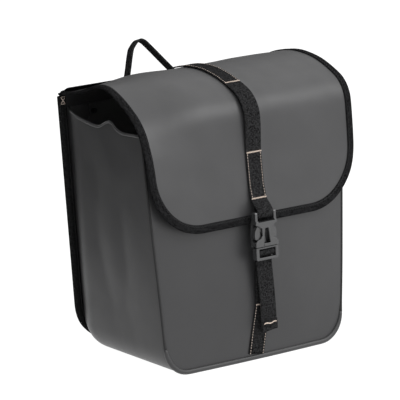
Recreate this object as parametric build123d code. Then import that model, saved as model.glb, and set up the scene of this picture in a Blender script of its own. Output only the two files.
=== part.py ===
from build123d import *
import math
import os

# Bicycle pannier bag, in millimetres. X runs right, +Z up, the front faces -Y and the
# hooks are on the back, towards +Y. "u" below is the distance forward of the back plane.
# Heights are measured from near the bag's foot, and write() lifts everything to stand on z = 0.

# ---- driving dimensions ----
BACK_Y = 82.75  # the back plane
BASE = -7.0  # the height of the bag's bottom cloth
FOOT = BASE - 0.6  # the bindings are pressed flat where the bag stands on them
LIFT = -FOOT  # brings the foot to z = 0
SKIN = 1.4  # coated fabric with its lining
TAPE = 1.1  # binding tape
WEB_WIDTH = 25.0
WEB = 1.8  # webbing thickness

BACK_HALF_TOP = 167.0
BACK_HALF_BOTTOM = 137.0
BACK_TOP = 325.5
BACK_CORNER = 60.0
BACK_TOP_CORNER = 9.0
BACK_ROUND = 34.0  # the back turns under the bag round this radius
BACK_BINDING_WIDTH = 12.0

# the sides and bottom at three depths: half width at the rim, at the bottom, corner radius
GUSSET_SECTIONS = ((0.0, 153.0, 124.0, 46.0), (40.0, 162.0, 141.0, 38.0), (230.0, 166.0, 144.0, 36.0))
RIM_BACK = 309.0
RIM_FRONT = 300.0

DEPTH_BOTTOM = 188.0
DEPTH_TOP = 165.0  # at RIM_FRONT
FRONT_CROWN = ((-10.0, 4.0), (110.0, 16.0), (330.0, 2.0))  # height, crown of the front panel
CROWN_HALF = 165.0

FLAP_HALF = 168.0
FLAP_START = (2.8, 327.6)
FLAP_PEAK = (80.0, 352.0)
FLAP_CREASE = (156.0, 333.0)
FLAP_FOLD_RADIUS = 42.0
FLAP_LEAN = 8.0  # degrees, the front of the flap from upright
FLAP_BOTTOM = 172.0
FLAP_CORNER = 80.0
FLAP_BINDING_WIDTH = 11.0
FOLD_AXIS_OUT = 2.6  # the fold lines lie this far outside the sheet
BACK_AXIS_OUT = 1.3
FOLD_GAP = 0.4

BUCKLE_MID = 204.0
BUCKLE_LEAN = 5.0  # degrees
BUCKLE_TOP = 186.0
FEMALE_BOTTOM = 143.0
MALE_BOTTOM = 126.0
ANCHOR_TOP = 66.0
TAIL_BOTTOM = 31.0
TAIL_TOP = 125.2
TAIL_U = 204.2

RAIL_HALF = 130.0
RAIL_Z = 299.0
HOOK_X = 85.0
TUBE_R = 8.2
TUBE_V = 20.2  # the rack tube's centre, behind the back plane
TUBE_Z = 298.0
HOOK_WIDTH = 22.0
LATCH_PIVOT = (7.0, 280.5)
HANDLE_X = 47.0
HANDLE_V = 15.0
HANDLE_Z = 311.0
HANDLE_TOP = 374.0
HANDLE_LEAN = 20.0
HANDLE_WIDTH = 16.0
LOWER_Z = 79.0
SCREW_R = 2.0
SCREW_X = (-115.0, -22.0, 22.0, 115.0)


# ---- helpers ----
def yu(u):
    return BACK_Y - u


def front_plane(u):
    # local x is X and local y is Z, and it is extruded forwards
    return Plane(origin=(0, yu(u), 0), x_dir=(1, 0, 0), z_dir=(0, -1, 0))


def side_plane(x):
    # local x is the distance forward of the back plane and local y is Z
    return Plane(origin=(x, BACK_Y, 0), x_dir=(0, -1, 0), z_dir=(-1, 0, 0))


def block(x0, x1, u0, u1, z0, z1):
    size = (x1 - x0, u1 - u0, z1 - z0)
    return Pos((x0 + x1) / 2, yu((u0 + u1) / 2), (z0 + z1) / 2) * Box(*size)


def along_x(outline, x0, x1):
    # a flat outline in (u, z), extruded from x0 to x1
    return extrude(side_plane(x0) * outline, x1 - x0, dir=(1, 0, 0))


def side_prism(points, x0, x1):
    return along_x(Polygon(*points, align=None), x0, x1)


def forwards(outline, u0, u1):
    # a flat outline in (X, Z), extruded from depth u0 to u1
    return extrude(front_plane(u0) * outline, u1 - u0, dir=(0, -1, 0))


def rod_y(x, z, radius, u0, u1):
    turned = Rotation(90, 0, 0) * Cylinder(radius, u1 - u0)
    return Pos(x, yu((u0 + u1) / 2), z) * turned


def rod_x(u, z, radius, x0, x1):
    turned = Rotation(0, 90, 0) * Cylinder(radius, x1 - x0)
    return Pos((x0 + x1) / 2, yu(u), z) * turned


def mirror_x(shape):
    return mirror(shape, Plane.YZ)


def write(name, shape):
    solids = [Pos(0, 0, LIFT) * solid for solid in shape.solids()]
    whole = solids[0] if len(solids) == 1 else Compound(children=solids)
    whole.label = name
    export_step(whole, "parts/" + name + ".step")
    box = whole.bounding_box()
    print(name, len(solids), round(whole.volume / 1000, 2), "cm3",
          [round(v, 1) for v in (*box.min, *box.max)])


# ---- outlines of the bag ----
def rounded_outline(half_top, top, half_bottom, bottom, radius, top_radius=0):
    points = [(-half_top, top), (-half_bottom, bottom), (half_bottom, bottom), (half_top, top)]
    face = Polygon(*points, align=None)
    face = fillet(face.vertices().group_by(Axis.Y)[0], radius)
    if top_radius:
        face = fillet(face.vertices().group_by(Axis.Y)[-1], top_radius)
    return face


def back_outline(grow):
    return rounded_outline(
        BACK_HALF_TOP + grow, BACK_TOP + grow, BACK_HALF_BOTTOM + grow, BASE - grow,
        BACK_CORNER + grow, BACK_TOP_CORNER + grow if grow > -8 else 0)


def back_block(inset):
    # everything forward of the back, which is flat and turns under the bag at its foot
    radius = BACK_ROUND - inset
    middle = (BACK_ROUND, BASE + BACK_ROUND)
    turn = math.sqrt(0.5) * radius
    edges = [Line((inset, 420), (inset, middle[1])),
             ThreePointArc((inset, middle[1]), (middle[0] - turn, middle[1] - turn),
                           (middle[0], BASE + inset)),
             Line((middle[0], BASE + inset), (middle[0], -60)), Line((middle[0], -60), (260, -60)),
             Line((260, -60), (260, 420)), Line((260, 420), (inset, 420))]
    return along_x(make_face(edges), -200, 200)


def gusset_section(u, half_rim, half_bottom, radius, grow):
    top = 345.0
    half_top = half_rim + (half_rim - half_bottom) / (RIM_FRONT - BASE) * (top - RIM_FRONT)
    outline = rounded_outline(half_top + grow, top, half_bottom + grow, BASE - grow, radius + grow)
    return front_plane(u) * outline


def gusset_block(u0, grow):
    # the space within the sides and bottom, widened by grow and starting at depth u0
    first, *rest = GUSSET_SECTIONS
    faces = [gusset_section(*first, grow)] + [gusset_section(*row, grow) for row in rest]
    return loft(faces, ruled=True) - block(-200, 200, -10, u0, -40, 400)


def front_block(inset):
    # everything behind the crowned front face, moved back by inset
    sections = []
    for z, crown in FRONT_CROWN:
        edge = DEPTH_BOTTOM + (DEPTH_TOP - DEPTH_BOTTOM) * z / RIM_FRONT - inset
        wide = CROWN_HALF + 15.0
        edge -= crown * ((wide / CROWN_HALF) ** 2 - 1)
        tip = edge + crown * (wide / CROWN_HALF) ** 2
        back = [(wide, yu(edge), z), (wide, yu(-30), z), (-wide, yu(-30), z), (-wide, yu(edge), z)]
        arc = ThreePointArc((-wide, yu(edge), z), (0, yu(tip), z), (wide, yu(edge), z))
        sections.append(make_face([arc] + Polyline(*back).edges()))
    return loft(sections)


def above_rim(lower=0.0):
    return side_prism(
        [(-20, RIM_BACK + 1.0 - lower), (0, RIM_BACK - lower), (DEPTH_TOP, RIM_FRONT - lower),
         (260, RIM_FRONT - lower), (260, 420), (-20, 420)], -200, 200)


def screw_shafts(u0, u1, radius):
    return [rod_y(x, RAIL_Z, radius, u0, u1) for x in SCREW_X]


def lower_shaft(u0, u1, radius):
    return rod_y(0, LOWER_Z, radius, u0, u1)


# ---- back ----
def make_back():
    sheet = back_block(0) - back_block(SKIN)
    skin = sheet & forwards(back_outline(0), -5, 60)
    board = forwards(back_outline(-17.0), SKIN, SKIN + 2.6)
    board -= block(-200, 200, -10, 20, -40, BASE + BACK_ROUND + 2)
    for hole in screw_shafts(-5, 12, SCREW_R + 0.2) + [lower_shaft(-5, 12, 2.7)]:
        skin -= hole
        board -= hole
    for x in (-50, 50):
        hole = rod_y(x, LOWER_Z, SCREW_R + 0.2, -5, 12)
        skin -= hole
        board -= hole
    write("back_panel", skin)
    write("back_board", board)

    tape = (back_block(-TAPE) - back_block(SKIN + TAPE)) & forwards(back_outline(TAPE), -5, 60)
    tape -= forwards(back_outline(TAPE - BACK_BINDING_WIDTH), -20, 80)
    tape -= skin
    tape -= gusset_block(SKIN, 0) & back_block(SKIN)
    tape -= block(-200, 200, -20, 60, BACK_TOP - 3.0, 400) + block(-200, 200, -20, 60, -40, FOOT)
    write("back_binding", tape)


# ---- sides, bottom and front ----
def make_shell():
    behind = front_block(SKIN)
    tube = gusset_block(SKIN, 0) - gusset_block(SKIN - 1.0, -SKIN)
    tube = (tube & behind & back_block(SKIN)) - above_rim()
    split = 72.0
    write("bottom_panel", tube & block(-split, split, -50, 260, -40, 60))
    side = tube - block(-200, split, -50, 260, -40, 400)
    write("side_panel_right", side)
    write("side_panel_left", mirror_x(side))

    front = (gusset_block(SKIN, 0) & front_block(0)) - behind - above_rim()
    front -= block(-200, 200, -20, 100, -40, 400)
    write("front_panel", front)

    lip = (gusset_block(100, TAPE) - gusset_block(99, -4.5)) & front_block(-1.4)
    lip -= front_block(0)
    rim = (gusset_block(100, TAPE) - gusset_block(99, 0)) & front_block(0)
    rim -= front_block(6.0)
    welt = (lip + rim) - above_rim() - front - side - mirror_x(side)
    welt -= block(-200, 200, 90, 260, -40, FOOT)
    write("front_seam_welt", welt)

    board = (gusset_block(44, -SKIN) - gusset_block(43, -SKIN - 2.4)) & front_block(8)
    write("bottom_board", board & block(-68, 68, 8, 260, -40, 60))

    hem = gusset_block(6, -SKIN) & behind
    hem -= gusset_block(5, -SKIN - 1.2) & front_block(SKIN + 1.2)
    hem = (hem - above_rim()) & above_rim(14.0)
    hem -= block(-200, 200, -40, 6, -40, 400)
    write("top_hem", hem)


# ---- flap ----
def circle_through(a, b, c):
    # centre and radius of the circle through three points
    (ax, ay), (bx, by), (cx, cy) = a, b, c
    d = 2 * (ax * (by - cy) + bx * (cy - ay) + cx * (ay - by))
    sa, sb, sc = ax * ax + ay * ay, bx * bx + by * by, cx * cx + cy * cy
    x = (sa * (by - cy) + sb * (cy - ay) + sc * (ay - by)) / d
    y = (sa * (cx - bx) + sb * (ax - cx) + sc * (bx - ax)) / d
    return (x, y), math.hypot(ax - x, ay - y)


def on_circle(centre, radius, angle):
    return (centre[0] + radius * math.cos(angle), centre[1] + radius * math.sin(angle))


def angle_of(centre, point):
    return math.atan2(point[1] - centre[1], point[0] - centre[0])


TOP_CENTRE, TOP_RADIUS = circle_through(FLAP_START, FLAP_PEAK, FLAP_CREASE)
START_ANGLE = angle_of(TOP_CENTRE, FLAP_START)
CREASE_ANGLE = angle_of(TOP_CENTRE, FLAP_CREASE)
FOLD_CENTRE = on_circle(FLAP_CREASE, -FLAP_FOLD_RADIUS, CREASE_ANGLE)
LEAN = math.radians(FLAP_LEAN)
STRAIGHT_TOP = on_circle(FOLD_CENTRE, FLAP_FOLD_RADIUS, LEAN)
BACK_AXIS = on_circle(TOP_CENTRE, TOP_RADIUS + BACK_AXIS_OUT, START_ANGLE)
FOLD_AXIS = on_circle(TOP_CENTRE, TOP_RADIUS + FOLD_AXIS_OUT, CREASE_ANGLE)


def arc_sheet(centre, radius, a0, a1, inner, outer, x0, x1):
    # a curved sheet between two radii, extruded along X
    mid = (a0 + a1) / 2
    points = [on_circle(centre, radius + outer, a) for a in (a0, mid, a1)]
    back = [on_circle(centre, radius + inner, a) for a in (a1, mid, a0)]
    edges = [ThreePointArc(*points), Line(points[2], back[0]),
             ThreePointArc(*back), Line(back[2], points[0])]
    return along_x(make_face(edges), x0, x1)


def top_sheet(inner, outer, x0, x1, from_angle=START_ANGLE):
    return arc_sheet(TOP_CENTRE, TOP_RADIUS, from_angle, CREASE_ANGLE, inner, outer, x0, x1)


def straight_point(out, z):
    # a point at a distance outside the flap's straight front, at a height
    u = STRAIGHT_TOP[0] + (STRAIGHT_TOP[1] - z) * math.tan(LEAN) + out / math.cos(LEAN)
    return (u, z)


def front_sheet(inner, outer, x0, x1, low):
    gap = FOLD_GAP / FLAP_FOLD_RADIUS
    bend = arc_sheet(FOLD_CENTRE, FLAP_FOLD_RADIUS, CREASE_ANGLE - gap, LEAN, inner, outer, x0, x1)
    high_out = on_circle(FOLD_CENTRE, FLAP_FOLD_RADIUS + outer, LEAN)
    high_in = on_circle(FOLD_CENTRE, FLAP_FOLD_RADIUS + inner, LEAN)
    points = [high_out, straight_point(outer, low), straight_point(inner, low), high_in]
    return bend + side_prism(points, x0, x1)


def flap_outline(grow):
    return rounded_outline(
        FLAP_HALF + grow, 400, FLAP_HALF + grow, FLAP_BOTTOM - grow, FLAP_CORNER + grow)


def flap_cutter(grow):
    return forwards(flap_outline(grow), 20, 280)


def make_flap():
    sheet = top_sheet(-SKIN, 0, -FLAP_HALF, FLAP_HALF)
    write("flap_top", sheet)
    edge = top_sheet(-SKIN - TAPE, TAPE, FLAP_HALF + TAPE - FLAP_BINDING_WIDTH, FLAP_HALF + TAPE)
    edge -= sheet
    write("flap_binding_top", Compound(children=[edge, mirror_x(edge)]))

    wide = FLAP_HALF + 5
    front = front_sheet(-SKIN, 0, -wide, wide, FLAP_BOTTOM - 5) & flap_cutter(0)
    write("flap_front", front)
    tape = front_sheet(-SKIN - TAPE, TAPE, -wide, wide, FLAP_BOTTOM - 5)
    tape = (tape & flap_cutter(TAPE)) - flap_cutter(TAPE - FLAP_BINDING_WIDTH) - front
    write("flap_binding_front", tape)


# ---- straps ----
BAR_U = BUCKLE_MID
BAR_Z = 182.2
BAR_R = 1.8


def make_straps():
    half = WEB_WIDTH / 2
    start = angle_of(TOP_CENTRE, (42.0, 344.0))
    write("strap_flap_top", top_sheet(0, WEB, -half, half, start))

    # over the fold and down the front, standing off the sheet's binding, to the buckle's bar
    strip = front_sheet(0, WEB, -half, half, 214.0)
    low_out = straight_point(WEB, 214.0)
    low_in = straight_point(0, 214.0)
    loop_out = BAR_R + 0.1 + WEB
    drop = [low_out, (BAR_U + loop_out, 196.0), (BAR_U + loop_out, BAR_Z),
            (BAR_U + BAR_R + 0.1, BAR_Z), (BAR_U + BAR_R + 0.1, 192.5),
            (BAR_U - BAR_R - 0.1, 192.5), (BAR_U - BAR_R - 0.1, BAR_Z),
            (BAR_U - loop_out, BAR_Z), (BAR_U - loop_out, 198.0), low_in]
    loop = rod_x(BAR_U, BAR_Z, loop_out, -half, half) - rod_x(BAR_U, BAR_Z, BAR_R + 0.1, -half, half)
    loop -= block(-20, 20, BAR_U - 10, BAR_U + 10, BAR_Z, BAR_Z + 20)
    write("strap_flap_front", strip + side_prism(drop, -half, half) + loop)

    # sewn to the front panel, then free up to the buckle
    sheet = (front_block(-WEB) - front_block(0)) & block(-half, half, 150, 230, -1.0, ANCHOR_TOP)
    write("strap_anchor", sheet)
    free = side_prism(
        [(196.8, ANCHOR_TOP + 0.3), (198.2, ANCHOR_TOP + 0.3), (202.0, 100.0), (203.6, MALE_BOTTOM),
         (202.2, MALE_BOTTOM), (200.4, 100.0)], -half, half)
    write("strap_lower_free", free)


# ---- buckle ----
BUCKLE_FRONT = BUCKLE_MID + 5.6
BUCKLE_BACK = BUCKLE_MID - 5.2
CAVITY_BACK = BUCKLE_MID - 3.4  # the space between the upper half's two plates
CAVITY_FRONT = BUCKLE_MID + 3.6
FRAME_BACK = BUCKLE_MID - 2.4
FRAME_FRONT = BUCKLE_MID + 5.0
MALE_TOP = FEMALE_BOTTOM - 0.4
BAR_FACE = BUCKLE_MID + 1.4  # the adjuster bar's front, where the webbing turns
WRAP_LOW = 131.2
WRAP_HIGH = 136.4
SLOT_HALF = 13.2


def leaning(shape):
    # the hanging buckle tips about the strap's bar, its lower end forwards
    pivot = Pos(0, yu(BAR_U), BAR_Z)
    return pivot * Rotation(-BUCKLE_LEAN, 0, 0) * pivot.inverse() * shape


def both_sides(right):
    # a closed outline from its right half, given from the top down
    return Polygon(*(right + [(-x, z) for x, z in reversed(right)]), align=None)


def make_female():
    cheek = both_sides([(16.8, 176.0), (17.6, 171.4), (12.6, 169.6), (7.6, 166.4), (7.2, 157.2),
                        (10.2, 153.2), (15.6, 151.4), (18.3, 148.2), (18.5, FEMALE_BOTTOM)])
    cheek = fillet(cheek.vertices(), 1.0)
    window = both_sides([(2.9, 166.2), (5.2, 147.0)])
    window = fillet(window.vertices(), 0.9)
    plate = forwards(cheek, CAVITY_FRONT, BUCKLE_FRONT)
    plate -= forwards(window, CAVITY_FRONT - 1, BUCKLE_FRONT + 1)
    plate = chamfer(plate.faces().sort_by(Axis.Y)[0].edges(), 0.5)
    plate += block(-5.4, 5.4, BUCKLE_FRONT - 0.2, BUCKLE_FRONT + 0.6, 144.2, 146.0)

    rear = both_sides([(16.8, 176.0), (18.5, 160.0), (18.5, FEMALE_BOTTOM)])
    rear = fillet(rear.vertices(), 1.6)
    female = plate + forwards(rear, BUCKLE_BACK, CAVITY_BACK)
    for side in (-1, 1):
        x0, x1 = sorted((side * 15.8, side * 18.1))
        female += block(x0, x1, CAVITY_BACK - 0.2, CAVITY_FRONT + 0.2, FEMALE_BOTTOM + 0.8, 149.4)
        x0, x1 = sorted((side * 13.3, side * 16.9))
        arm = block(x0, x1, BUCKLE_BACK + 1.5, BUCKLE_FRONT - 1.5, 172.0, BUCKLE_TOP + 1.5)
        female += fillet(arm.edges().filter_by(Axis.X).group_by(Axis.Z)[-1], 2.4)
    female += block(-16.0, 16.0, CAVITY_BACK - 0.2, CAVITY_FRONT + 0.2, 171.6, 174.6)
    female -= block(-SLOT_HALF, SLOT_HALF, BUCKLE_BACK - 5, BUCKLE_FRONT + 5, 174.6, BUCKLE_TOP + 5)
    female += rod_x(BAR_U, BAR_Z, BAR_R, -14.0, 14.0)
    write("buckle_female", leaning(female))


def make_male():
    frame = block(-18.2, 18.2, FRAME_BACK, FRAME_FRONT, MALE_BOTTOM, MALE_TOP)
    frame = fillet(frame.edges().filter_by(Axis.Y), 3.0)
    for z0, z1 in ((129.2, 133.4), (136.0, 140.0)):
        frame -= block(-SLOT_HALF, SLOT_HALF, FRAME_BACK - 5, FRAME_FRONT + 5, z0, z1)
    frame -= block(-SLOT_HALF, SLOT_HALF, BAR_FACE, FRAME_FRONT + 5, 133.0, WRAP_HIGH)
    frame = chamfer(frame.faces().sort_by(Axis.Y)[0].edges(), 0.6)
    tongue = block(-2.4, 2.4, BUCKLE_MID - 2.2, BUCKLE_MID - 0.4, MALE_TOP - 1, 160.0)
    write("buckle_male", leaning(frame + tongue))

    # the webbing goes in over the upper slot, round the bar and out of the lower slot
    half = WEB_WIDTH / 2
    low = FRAME_BACK - 0.8
    wrap = block(-half, half, BAR_FACE, BAR_FACE + WEB, WRAP_LOW, WRAP_HIGH + WEB)
    wrap += block(-half, half, low, BAR_FACE, WRAP_HIGH, WRAP_HIGH + WEB)
    wrap += block(-half, half, low, BAR_FACE, WRAP_LOW, WRAP_LOW + WEB)
    wrap += block(-half, half, low - WEB, low, MALE_BOTTOM, WRAP_LOW + WEB)
    write("strap_bar_wrap", leaning(wrap))

    prong = Polygon((9.0, MALE_TOP + 0.2), (12.2, MALE_TOP + 0.2), (12.4, 151.6), (17.2, 153.4),
                    (17.9, 158.0), (16.8, 164.0), (13.4, 169.0), (9.4, 169.0), align=None)
    prong = fillet(prong.vertices().sort_by(Axis.Y)[2:], 0.9)
    solid = leaning(forwards(prong, BUCKLE_MID - 2.6, BUCKLE_MID + 2.6))
    write("prong_right", solid)
    write("prong_left", mirror_x(solid))


def make_tail():
    half = WEB_WIDTH / 2
    tail = block(-half, half, TAIL_U, TAIL_U + WEB, TAIL_BOTTOM, TAIL_TOP)
    fold = block(-half, half, TAIL_U + WEB, TAIL_U + 2 * WEB, TAIL_BOTTOM, TAIL_BOTTOM + 13)
    write("strap_tail", tail + fold)


# ---- rail, hooks and latches ----
def v_prism(points, x0, x1):
    # an outline of (distance behind the back plane, z) points, extruded along X
    return side_prism([(-v, z) for v, z in points], x0, x1)


def v_block(x0, x1, v0, v1, z0, z1):
    return block(x0, x1, -v1, -v0, z0, z1)


def make_rail():
    low, high = RAIL_Z - 11, RAIL_Z + 11
    rail = v_block(-RAIL_HALF, RAIL_HALF, 0, 7, low, high)
    rail -= v_block(-200, 200, 2.5, 5.0, low + 2.5, high - 2.5)
    rail -= v_block(-200, 200, 4.0, 9.0, low + 5.0, high - 5.0)
    plate = block(-RAIL_HALF + 8, RAIL_HALF - 8, SKIN + 2.6, SKIN + 4.6, low + 1, high - 1)
    for hole in screw_shafts(-10, 20, SCREW_R + 0.2):
        rail -= hole
        plate -= hole
    write("hook_rail", rail)
    write("rail_backing_plate", plate)
    cap = v_block(RAIL_HALF, RAIL_HALF + 3, 0, 7.6, low - 0.6, high + 0.6)
    cap = fillet(cap.faces().sort_by(Axis.X)[-1].edges(), 1.2)
    write("rail_cap_right", cap)
    write("rail_cap_left", mirror_x(cap))

    inner = SKIN + 4.6
    screws = []
    nuts = []
    for x in SCREW_X:
        head = rod_y(x, RAIL_Z, 3.7, -4.7, -2.5)
        head = fillet(head.edges().sort_by(Axis.Y)[-1], 1.2)
        head -= rod_y(x, RAIL_Z, 1.3, -4.8, -3.4)
        screws.append(head + rod_y(x, RAIL_Z, SCREW_R, -2.5, inner + 4.2))
        hexagon = Pos(x, RAIL_Z) * RegularPolygon(3.5, 6, major_radius=False)
        nut = forwards(hexagon, inner, inner + 3.2) - rod_y(x, RAIL_Z, SCREW_R, 0, 20)
        nuts.append(nut)
    write("rail_screws", Compound(children=screws))
    write("rail_nuts", Compound(children=nuts))


def t_foot(x0, x1):
    low, high = RAIL_Z - 11, RAIL_Z + 11
    foot = v_block(x0, x1, 2.6, 4.9, low + 2.6, high - 2.6)
    return foot + v_block(x0, x1, 4.0, 7.4, low + 5.2, high - 5.2)


def make_hook():
    x0, x1 = HOOK_X - HOOK_WIDTH / 2, HOOK_X + HOOK_WIDTH / 2
    reach = TUBE_R + 4.6
    hook = rod_x(-TUBE_V, TUBE_Z, reach, x0, x1)
    hook += v_block(x0, x1, TUBE_V - reach, TUBE_V - TUBE_R, 270, TUBE_Z)
    hook += v_block(x0, x1, TUBE_V + TUBE_R, TUBE_V + reach, 279, TUBE_Z)
    hook += v_block(x0, x1, 7.2, TUBE_V - TUBE_R, 288, RAIL_Z + 9)
    hook += v_block(x0, x1, 0.6, TUBE_V - TUBE_R, 270, 287.6)
    hook -= v_block(x0 - 1, x1 + 1, TUBE_V - TUBE_R, TUBE_V + TUBE_R, 260, TUBE_Z)
    hook -= rod_x(-TUBE_V, TUBE_Z, TUBE_R, x0 - 1, x1 + 1)
    hook += t_foot(x0, x1)
    hook -= v_block(HOOK_X - 5.5, HOOK_X + 5.5, 0, TUBE_V - TUBE_R + 1, 260, 287.7)
    hook -= rod_x(-LATCH_PIVOT[0], LATCH_PIVOT[1], 1.55, x0 - 1, x1 + 1)
    write("hook_right", hook)
    write("hook_left", mirror_x(hook))

    v, z = LATCH_PIVOT
    latch = rod_x(-v, z, 3.4, HOOK_X - 5, HOOK_X + 1.5)
    arm = [(v, z + 3.4), (v, z - 3.4), (20.0, 278.6), (26.6, 282.2), (26.6, 285.4), (24.0, 286.0), (18, 283.6)]
    latch += v_prism(arm, HOOK_X - 5, HOOK_X + 1.5)
    latch -= rod_x(-v, z, 1.6, HOOK_X - 8, HOOK_X + 5)
    write("latch_right", latch)
    write("latch_left", mirror_x(latch))
    pin = rod_x(-v, z, 1.5, HOOK_X - 10.8, HOOK_X + 10.8)
    write("latch_pins", Compound(children=[pin, mirror_x(pin)]))
    spring = rod_x(-v, z, 2.8, HOOK_X + 1.9, HOOK_X + 5.1) - rod_x(-v, z, 1.7, HOOK_X, HOOK_X + 7)
    write("latch_springs", Compound(children=[spring, mirror_x(spring)]))


# ---- handle ----
def make_handle():
    # a folded loop of webbing, leaning back over its two keepers
    half = HANDLE_WIDTH / 2
    rise = HANDLE_TOP - HANDLE_Z
    outer = [(-HANDLE_X - 1.5, 0), (-26, rise - 12), (-14, rise - 1), (-4, rise), (4, rise - 6),
             (HANDLE_X + 1.5, 0)]
    inner = [(HANDLE_X - 1.5, 0), (1.4, rise - 8.6), (-5.2, rise - 3.4), (-12.6, rise - 4.2),
             (-22.8, rise - 13.6), (-HANDLE_X + 1.5, 0)]
    plane = Plane(origin=(0, yu(-HANDLE_V), HANDLE_Z), x_dir=(1, 0, 0), z_dir=(0, -1, 0))
    loop = extrude(Polygon(*(outer + inner), align=None), half, both=True)
    loop = plane * Rotation(-HANDLE_LEAN, 0, 0) * loop
    loop -= block(-100, 100, -100, 0, 200, HANDLE_Z)
    end = rod_x(-HANDLE_V, HANDLE_Z, half, HANDLE_X - 1.5, HANDLE_X + 1.5)
    write("handle_strap", loop + end + mirror_x(end))

    keeper_top = HANDLE_Z - half - 0.5
    keeper = v_block(HANDLE_X - 11, HANDLE_X + 11, 7.2, HANDLE_V + 9.5, RAIL_Z - 9.0, keeper_top)
    keeper = fillet(keeper.edges().filter_by(Axis.X).sort_by(Axis.Y)[-2:], 3.0)
    keeper += t_foot(HANDLE_X - 11, HANDLE_X + 11)
    write("handle_keeper_right", keeper)
    write("handle_keeper_left", mirror_x(keeper))


# ---- lower hook ----
def make_lower_hook():
    rail = v_block(-64, 64, 0, 5, LOWER_Z - 9, LOWER_Z + 9)
    rail = fillet(rail.edges().filter_by(Axis.Y), 4.0)
    rail -= lower_shaft(-10, 10, 2.7)
    screws = []
    washers = []
    inner = SKIN + 2.6
    for x in (-50, 50):
        rail -= rod_y(x, LOWER_Z, SCREW_R + 0.2, -10, 10)
        screws.append(rod_y(x, LOWER_Z, 3.7, -7.2, -5) + rod_y(x, LOWER_Z, SCREW_R, -5, inner + 3.2))
        washers.append(rod_y(x, LOWER_Z, 7.5, inner, inner + 1.2) - rod_y(x, LOWER_Z, SCREW_R + 0.1, 0, 20))
        hexagon = Pos(x, LOWER_Z) * RegularPolygon(3.5, 6, major_radius=False)
        nut = forwards(hexagon, inner + 1.2, inner + 3.2)
        washers.append(nut - rod_y(x, LOWER_Z, SCREW_R, 0, 20))
    write("lower_rail", rail)
    write("lower_rail_screws", Compound(children=screws))
    write("lower_rail_washers", Compound(children=washers))

    hook = rod_y(0, LOWER_Z, 10, -9.3, -5.3)
    hook += v_block(-6, 6, 5.3, 9.3, 47, LOWER_Z)
    hook += v_block(-6, 6, 5.3, 21, 47, 51)
    hook += v_block(-6, 6, 17.4, 21, 47, 64)
    hook -= lower_shaft(-20, 10, 2.6)
    write("lower_hook", hook)
    bolt = lower_shaft(-12.6, -9.6, 6.0)
    bolt = fillet(bolt.edges().sort_by(Axis.Y)[-1], 1.2)
    bolt -= rod_y(0, LOWER_Z, 1.6, -13, -11)
    bolt += lower_shaft(-9.6, inner + 5.0, 2.5)
    write("lower_hook_bolt", bolt)
    hexagon = Pos(0, LOWER_Z) * RegularPolygon(4.0, 6, major_radius=False)
    nut = forwards(hexagon, inner, inner + 4.0)
    write("lower_hook_nut", nut - lower_shaft(0, 20, 2.5))


os.makedirs("parts", exist_ok=True)
make_back()
make_shell()
make_flap()
make_straps()
make_female()
make_male()
make_tail()
make_rail()
make_hook()
make_handle()
make_lower_hook()
print("back fold axis u, z", BACK_AXIS, "front fold axis u, z", FOLD_AXIS)
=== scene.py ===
"""A bicycle pannier bag: its cloth, webbing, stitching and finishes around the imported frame.

Shapes are worked out in millimetres and turned into metres by place(). "u" is the distance
forward of the back plane, as in the part's source.
"""
import math

import bpy
import numpy as np
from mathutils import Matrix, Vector, noise


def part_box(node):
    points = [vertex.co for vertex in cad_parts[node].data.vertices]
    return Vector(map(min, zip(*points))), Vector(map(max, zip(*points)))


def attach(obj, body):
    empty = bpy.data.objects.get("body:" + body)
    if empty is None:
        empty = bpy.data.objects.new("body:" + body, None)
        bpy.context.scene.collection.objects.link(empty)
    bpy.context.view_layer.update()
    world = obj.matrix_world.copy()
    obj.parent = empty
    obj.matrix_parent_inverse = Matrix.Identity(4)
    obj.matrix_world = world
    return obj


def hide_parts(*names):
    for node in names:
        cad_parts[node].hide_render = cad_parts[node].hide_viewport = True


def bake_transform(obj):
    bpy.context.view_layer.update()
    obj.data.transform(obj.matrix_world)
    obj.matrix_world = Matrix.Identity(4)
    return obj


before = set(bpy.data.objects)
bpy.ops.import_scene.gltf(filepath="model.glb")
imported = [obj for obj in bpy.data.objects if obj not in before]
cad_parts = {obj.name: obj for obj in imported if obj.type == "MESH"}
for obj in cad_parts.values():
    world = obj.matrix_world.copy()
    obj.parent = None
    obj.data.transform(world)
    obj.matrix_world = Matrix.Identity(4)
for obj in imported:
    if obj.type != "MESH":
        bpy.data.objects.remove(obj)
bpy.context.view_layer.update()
MM = 0.001


# ---- the driving dimensions, in millimetres ----
LIFT = 7.6  # heights are measured from this far above the ground


def corner(node, end):
    x, y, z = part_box(node)[end]
    return x / MM, y / MM, z / MM - LIFT


BACK_Y = corner("back_panel", 1)[1]
SKIN = 1.4
TAPE = 1.1
WEB = 1.8
WEB_HALF = 12.5

BACK_HALF_TOP, BACK_HALF_BOTTOM, BACK_CORNER = 167.0, 137.0, 60.0
BACK_TOP = corner("back_panel", 1)[2]
BACK_TAPE_WIDTH = 12.0
BASE = -7.0  # the height of the bag's bottom
BACK_ROUND = 34.0  # the back turns under the bag round this radius
TURN_Z = BASE + BACK_ROUND  # where it starts to turn

# the sides and bottom at three depths: half width at the rim, at the bottom, corner radius
GUSSET = ((0.0, 153.0, 124.0, 46.0), (40.0, 162.0, 141.0, 38.0), (230.0, 166.0, 144.0, 36.0))
RIM_BACK, RIM_FRONT = 309.0, 300.0
DEPTH_BOTTOM, DEPTH_TOP = 188.0, 165.0
CROWN_HALF = 165.0

FLAP_HALF = 168.0
FLAP_START, FLAP_PEAK, FLAP_CREASE = (2.8, 327.6), (80.0, 352.0), (156.0, 333.0)
FOLD_RADIUS = 42.0
LEAN = math.radians(8.0)
FLAP_BOTTOM = 172.0
FLAP_CORNER = 80.0
FLAP_TAPE_WIDTH = 11.0

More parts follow.
